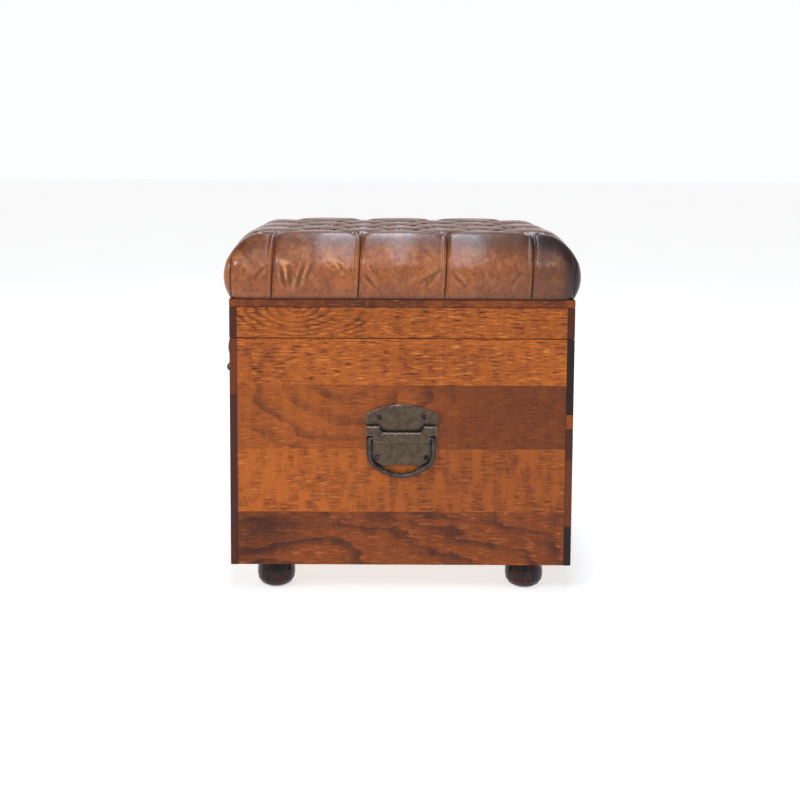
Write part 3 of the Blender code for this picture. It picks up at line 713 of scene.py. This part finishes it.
def fold_depth(points):
    """(depth, signed distance) of the pleats down the sides: a groove with a narrow folded strip beside it.
    The distance is across the nearest pleat, and it is FAR where there is none."""
    total = np.zeros(len(points))
    across = np.full(len(points), FAR)
    out = np.max(np.abs(points[:, :2]), axis=1)
    side = smooth(out, OUTER_BUTTON, OUTER_BUTTON + 12 * MM)
    lean = (points[:, 2] - PAD_WIDEST) * 0.05
    for axis in (0, 1):
        far = np.abs(points[:, axis])
        here = far > np.abs(points[:, 1 - axis]) - 4 * MM
        along = points[:, 1 - axis] * np.sign(points[:, axis]) * (1 if axis == 0 else -1)
        for column in PLEAT_COLUMNS:
            t = along - column * BUTTON_PITCH - lean
            groove = np.exp(-((t / PLEAT_WIDTH) ** 2))
            strip = np.exp(-(((t + FOLD_WIDTH * 0.55) / (FOLD_WIDTH * 0.45)) ** 4))
            total += here * side * (PLEAT_DEPTH * groove - FOLD_RISE * strip)
            closer = here & (side > 0.02) & (np.abs(t) < np.abs(across))
            across[closer] = t[closer]
        low = smooth(points[:, 2], 68 * MM, 54 * MM)
        for sign in (-1, 1):
            t = (along - sign * (PAD_HALF - 10 * MM)) * -sign
            edge = here & (far > PAD_HALF - 12 * MM) & (axis == 0)
            total += edge * low * 1.6 * MM * np.exp(-((t / PLEAT_WIDTH) ** 2))
            closer = edge & (low > 0.3) & (np.abs(t) < np.abs(across))
            across[closer] = t[closer]
    return total, across


def valley_lip(valley, side):
    """A soft lip along one side of each valley on top, where the leather is folded over."""
    return 1.5 * MM * (side > 0) * np.exp(-(((valley - 5 * MM) / (3.2 * MM)) ** 2))


def painted_shade_and_hem(points, normals):
    """Painted shade: on top, at one corner and towards one end of a side; also darker along the hem."""
    corner = np.linalg.norm(points[:, :2] - np.array((PAD_HALF - 6 * MM, PAD_HALF)), axis=1)
    dark = 0.5 * (1 - smooth(corner, 10 * MM, 34 * MM)) + 0.25 * (1 - smooth(corner, 40 * MM, 80 * MM))
    dark = np.maximum(dark, 0.16 * (1 - smooth(points[:, 2], 4 * MM, 22 * MM)))
    dark += 0.50 * smooth(normals[:, 2], 0.3, 0.75)
    dark += 0.30 * smooth(points[:, 1], 10 * MM, 170 * MM) * smooth(points[:, 0], 120 * MM, 200 * MM)
    return dark


def detail(seat):
    """Sinks the pleats, folds and wrinkles, and keeps where they are for the leather's colours, including its
    painted shade and painted highlights.
    """
    points = read_points(seat.data)
    normals = read_normals(seat.data)
    diagonals, _ = valley_lines()
    valley, side = nearest(points[:, :2], diagonals)
    _, near, button = seat_fields(points)
    topness = smooth(normals[:, 2], 0.35, 0.8)
    folds, across = fold_depth(points)
    wrinkles = crease_depth(points, pucker_lines())
    groove = 3.0 * MM * topness * np.exp(-((valley / (2.2 * MM)) ** 2))
    lip = valley_lip(valley, side) * topness
    rest = smooth(points[:, 2], 1 * MM, 8 * MM)
    write_points(seat.data, points - normals * ((folds + wrinkles + groove - lip) * rest)[:, None])
    # painted shade: dark round the buttons, in the wrinkles' grooves and in a line where the seat meets its
    # board
    crease_shade = 0.8 * np.exp(-((button / (9 * MM)) ** 2)) * topness
    hem = 1 - smooth(points[:, 2], 0.5 * MM, 4 * MM)
    crease_shade += np.clip(wrinkles / (2.0 * MM), 0, 1) * 0.55 + hem * 0.9
    # crown: high up and away from valleys and pleats, where the hide is pulled tight and a painted highlight
    # goes
    crown = smooth(near, 6 * MM, 24 * MM) * (0.4 + 0.6 * smooth(points[:, 2], 20 * MM, 60 * MM))
    # painted highlight on the lips raised beside the wrinkles
    ridge_highlight = smooth(-wrinkles, 0.08 * MM, 0.6 * MM)
    for name, values in (
        ("crease_shade", crease_shade),
        ("crown", crown),
        ("shade_and_hem", painted_shade_and_hem(points, normals)),
        ("ridge_highlight", ridge_highlight),
    ):
        keep(seat.data, name, np.clip(values, 0, 1))
    keep(seat.data, "across", across)
    keep(seat.data, "valley", np.where(topness > 0.3, valley * side, FAR))


def keep(data, name, values):
    layer = data.attributes.new(name, "FLOAT", "POINT")
    layer.data.foreach_set("value", values.astype(np.float32))


def make_seat(material):
    seat = bpy.data.objects.new("leather_seat", seat_blank())
    bpy.context.scene.collection.objects.link(seat)
    points = read_points(seat.data)
    write_points(seat.data, buttoned(points, read_normals(seat.data)))
    inflate(seat)
    apply_subdivision(seat)
    detail(seat)
    close_base(seat)
    seat.data.transform(Matrix.Translation((PAD_CENTRE.x, PAD_CENTRE.y, PAD_BASE)))
    seat.data.shade_smooth()
    seat.data.materials.clear()
    seat.data.materials.append(material)
    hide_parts("seat_cushion")
    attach(seat, "lid")
    return seat


def button_profile():
    """Half the section of a covered button, from its crown out over the rim to its underside."""
    radius, rise = BUTTON_RADIUS, 3.6 * MM
    crown = [(radius * math.sin(t), rise * math.cos(t)) for t in np.linspace(0, math.pi / 2, 9)]
    return crown + [(radius * 0.93, -1.2 * MM), (radius * 0.7, -2.2 * MM), (0, -2.4 * MM)]


def add_button(mesh, x, y, floor):
    """One covered button, turned about its own axis. A ring of no radius is a single point."""
    rings = []
    for radius, height in button_profile():
        count = BUTTON_STEPS if radius > 1e-6 else 1
        ring = []
        for k in range(count):
            angle = math.tau * k / BUTTON_STEPS
            place = (x + radius * math.cos(angle), y + radius * math.sin(angle), floor + height)
            ring.append(mesh.verts.new(place))
        rings.append(ring)
    for upper, lower in zip(rings, rings[1:]):
        for k in range(BUTTON_STEPS):
            n = (k + 1) % BUTTON_STEPS
            corners = [upper[k % len(upper)], lower[k % len(lower)]]
            corners += [lower[n % len(lower)], upper[n % len(upper)]]
            mesh.faces.new(list(dict.fromkeys(corners)))


def make_buttons(seat, material):
    """Covered buttons, each pulled down to the floor of its dimple."""
    outer, inner = button_places()
    mesh = bmesh.new()
    points = read_points(seat.data)
    above = points[:, 2] > PAD_BASE + 30 * MM
    for x, y in outer + inner:
        place = np.array((x + PAD_CENTRE.x, y + PAD_CENTRE.y))
        near = (np.linalg.norm(points[:, :2] - place, axis=1) < BUTTON_RADIUS * 0.6) & above
        floor = float(points[near, 2].mean()) + 1.0 * MM
        add_button(mesh, *place, floor)
    bmesh.ops.recalc_face_normals(mesh, faces=mesh.faces)
    data = bpy.data.meshes.new("tuft_buttons")
    mesh.to_mesh(data)
    mesh.free()
    data.shade_smooth()
    data.materials.append(material)
    count = len(data.vertices)
    # even values for the leather's masks: a little painted shade, and a pale crown that is partly painted
    # highlight
    constants = {"crease_shade": 0.15, "crown": 0.8, "shade_and_hem": 0.1, "across": FAR, "valley": FAR}
    for name, value in constants.items():
        keep(data, name, np.full(count, value))
    buttons = bpy.data.objects.new("tuft_buttons", data)
    bpy.context.scene.collection.objects.link(buttons)
    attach(buttons, "lid")
    return buttons


# ---- the frame's own nodes ----


def paint(material, *names):
    for name in names:
        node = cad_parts[name]
        node.data.materials.clear()
        node.data.materials.append(material)


def dress_frame():
    names = list(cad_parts)
    end_panel = dict(along="y", boards=END_BOARDS, edges=END_EDGES, end_colors=(RUSSET,))
    paint(wood("end_panel_right", shift=0.0, **end_panel), "box_right")
    paint(wood("end_panel_left", shift=4.3, **end_panel), "box_left")
    face = dict(along="x", boards=FRONT_BOARDS, edges=FRONT_EDGES)
    paint(wood("front_panel", end_edges=FRONT_EDGES, end_colors=FRONT_ENDS, **face), "box_front")
    paint(wood("back_panel", end_edges=BACK_EDGES, end_colors=BACK_ENDS, shift=2.1, **face), "box_back")
    rail = dict(boards=RAIL_BOARD, end_colors=(UMBER,))
    paint(wood("lid_rail_side", along="y", shift=1.0, **rail), "lid_right", "lid_left")
    paint(wood("lid_rail_face", along="x", shift=1.7, **rail), "lid_front", "lid_back")
    top = dict(along="y", boards=TOP_BOARD, end_colors=(UMBER,), shift=3.0)
    paint(wood("lid_top_board", **top), "lid_board")
    paint(plywood(), "base_board")
    paint(dark_wood(), *[name for name in names if name.startswith("foot_")])
    iron = metal("iron", (0.060, 0.040, 0.026), (0.118, 0.081, 0.054), (0.56, 0.54, 0.54), 0.85, 0.24)
    bail = metal("bail_iron", (0.036, 0.028, 0.023), (0.080, 0.062, 0.050), (0.24, 0.22, 0.21), 0.80, 0.30)
    screw = metal("dark_iron", (0.008, 0.006, 0.005), (0.034, 0.025, 0.019), (0.46, 0.40, 0.34), 0.80, 0.30)
    brass = metal("brass", (0.20, 0.115, 0.035), (0.50, 0.33, 0.12), (0.80, 0.62, 0.33), 1.0, 0.28, 0.06)
    fittings = [name for name in names if name.startswith(("handle_", "hasp_", "hinge_", "stay_arm"))]
    paint(iron, *[name for name in fittings if "screw" not in name])
    paint(bail, "handle_left_bail", "handle_right_bail")
    paint(screw, *[name for name in names if "_screw" in name])
    paint(brass, "stay_guide", "stay_thumbscrew")


# ---- the studio ----


def make_camera():
    data = bpy.data.cameras.new("camera")
    camera = bpy.data.objects.new("camera", data)
    bpy.context.scene.collection.objects.link(camera)
    distance, aside, height = 1.5, -0.0222, 0.541
    pitch, roll = math.radians(5.6), math.radians(0.25)
    camera.location = (BODY_HI.x + distance, BODY_CENTRE.y + aside, height)
    level = Matrix.Rotation(math.pi / 2, 4, "Z") @ Matrix.Rotation(math.pi / 2 - pitch, 4, "X")
    camera.rotation_euler = (level @ Matrix.Rotation(roll, 4, "Z")).to_euler()
    data.sensor_width = 36
    data.lens = 56.1
    data.shift_x = 0.02
    data.shift_y = -0.148
    data.clip_end = 60
    bpy.context.scene.camera = camera


def area_light(name, place, size, power, color=(1, 1, 1)):
    data = bpy.data.lights.new(name, "AREA")
    data.shape = "RECTANGLE"
    data.size, data.size_y = size
    data.energy = power
    data.color = color
    light = bpy.data.objects.new(name, data)
    light.location = place
    toward = Vector((0, 0, 0.28)) - Vector(place)
    light.rotation_euler = toward.to_track_quat("-Z", "Y").to_euler()
    bpy.context.scene.collection.objects.link(light)


def soft_sun(place, power, spread):
    data = bpy.data.lights.new("sun", "SUN")
    data.energy = power
    data.angle = math.radians(spread)
    light = bpy.data.objects.new("sun", data)
    light.rotation_euler = (-Vector(place)).to_track_quat("-Z", "Y").to_euler()
    bpy.context.scene.collection.objects.link(light)


def make_studio():
    mesh = bmesh.new()
    bmesh.ops.create_grid(mesh, x_segments=8, y_segments=8, size=30)
    data = bpy.data.meshes.new("floor")
    mesh.to_mesh(data)
    mesh.free()
    floor = bpy.data.objects.new("floor", data)
    bpy.context.scene.collection.objects.link(floor)
    shade = Shade("floor")
    tone = shade.fit(shade.noise(shade.place, scale=3, detail=2), 0.3, 0.7)
    glow = dict(Emission_Color=(1, 1, 1, 1), Emission_Strength=0.67, Specular_IOR_Level=0.2)
    data.materials.append(shade.finish(shade.mix(tone, (0.62, 0.62, 0.62), (0.65, 0.65, 0.65)), 0.9, **glow))
    world = bpy.data.worlds.new("studio")
    world.use_nodes = True
    nodes, links = world.node_tree.nodes, world.node_tree.links
    split = nodes.new("ShaderNodeSeparateXYZ")
    links.new(nodes.new("ShaderNodeTexCoord").outputs["Generated"], split.inputs[0])
    fade = nodes.new("ShaderNodeMapRange")
    fade.inputs["From Min"].default_value = 0.12
    fade.inputs["From Max"].default_value = 0.50
    fade.inputs["To Min"].default_value = 1.0
    fade.inputs["To Max"].default_value = 0.15
    links.new(split.outputs["Z"], fade.inputs["Value"])
    links.new(fade.outputs[0], nodes["Background"].inputs["Strength"])
    nodes["Background"].inputs["Color"].default_value = (0.98, 0.99, 1.0, 1)
    bpy.context.scene.world = world
    soft_sun((1.3, -0.9, 1.15), 0.95, 12)
    area_light("strip", (0.34, 0.0, 1.9), (0.32, 5.0), 50, (0.68, 0.82, 1.0))
    bpy.context.scene.view_settings.view_transform = "Standard"


make_camera()
make_studio()
dress_frame()
hide = leather()
seat = make_seat(hide)
make_buttons(seat, hide)
